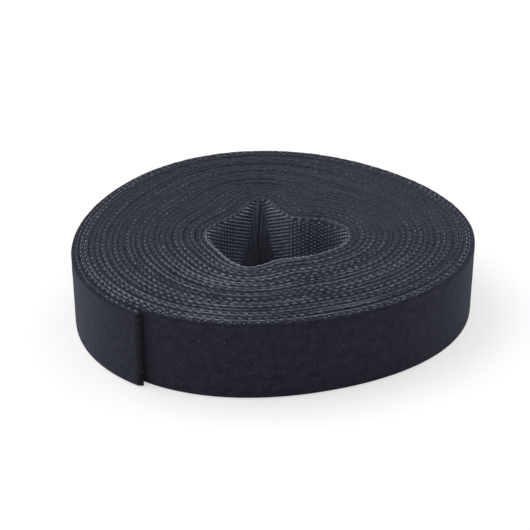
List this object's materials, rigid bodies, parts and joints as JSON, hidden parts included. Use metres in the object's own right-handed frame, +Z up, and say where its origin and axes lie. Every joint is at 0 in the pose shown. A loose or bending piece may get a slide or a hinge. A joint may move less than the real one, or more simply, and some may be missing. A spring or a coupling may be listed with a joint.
{
  "type": "hook and loop tape roll",
  "caption": "Roll of back-to-back hook and loop tape, wound flat without a reel round an open core hole, with a free tail that peels away from the outer turn.",
  "frame": {"origin": "under the middle of the roll's box, on the surface that the roll lies on", "axes": "+Z up along the axis of the roll, -Y towards the viewer of the picture, with the cut end of the tail at the front left"},
  "size_m": [0.1026, 0.1018, 0.02],
  "materials": {
    "hook_web": "woven black nylon",
    "loop_web": "napped black pile",
    "hook_yarn": "satin black monofilament"
  },
  "bodies": {
    "roll": {"hook_web_coil": "hook_web", "loop_web_coil": "loop_web", "hook_yarn_01": "hook_yarn", "hook_yarn_02": "hook_yarn", "hook_yarn_03": "hook_yarn", "hook_yarn_04": "hook_yarn", "hook_yarn_05": "hook_yarn", "hook_yarn_06": "hook_yarn", "hook_yarn_07": "hook_yarn", "hook_yarn_08": "hook_yarn", "hook_yarn_09": "hook_yarn", "hook_yarn_10": "hook_yarn", "hook_yarn_11": "hook_yarn", "hook_yarn_12": "hook_yarn", "hook_yarn_13": "hook_yarn", "hook_yarn_14": "hook_yarn", "hook_yarn_15": "hook_yarn", "hook_yarn_16": "hook_yarn", "hook_yarn_17": "hook_yarn", "hook_yarn_18": "hook_yarn", "hook_yarn_19": "hook_yarn"},
    "tail_1": {"hook_web_tail_1": "hook_web", "loop_web_tail_1": "loop_web"},
    "tail_2": {"hook_web_tail_2": "hook_web", "loop_web_tail_2": "loop_web"},
    "tail_3": {"hook_web_tail_3": "hook_web", "loop_web_tail_3": "loop_web"},
    "tail_4": {"hook_web_tail_4": "hook_web", "loop_web_tail_4": "loop_web"}
  },
  "joints": [
    {"name": "tail_bend_1", "type": "hinge", "parent": "roll", "child": "tail_1", "pos_m": [-0.05021, 0.00264, 0.01], "axis": [0, 0, -1], "range_deg": [0, 45]},
    {"name": "tail_bend_2", "type": "hinge", "parent": "tail_1", "child": "tail_2", "pos_m": [-0.05094, -0.01059, 0.01], "axis": [0, 0, -1], "range_deg": [0, 45]},
    {"name": "tail_bend_3", "type": "hinge", "parent": "tail_2", "child": "tail_3", "pos_m": [-0.04834, -0.02405, 0.01], "axis": [0, 0, -1], "range_deg": [0, 45]},
    {"name": "tail_bend_4", "type": "hinge", "parent": "tail_3", "child": "tail_4", "pos_m": [-0.04168, -0.03645, 0.01], "axis": [0, 0, -1], "range_deg": [0, 45]}
  ]
}
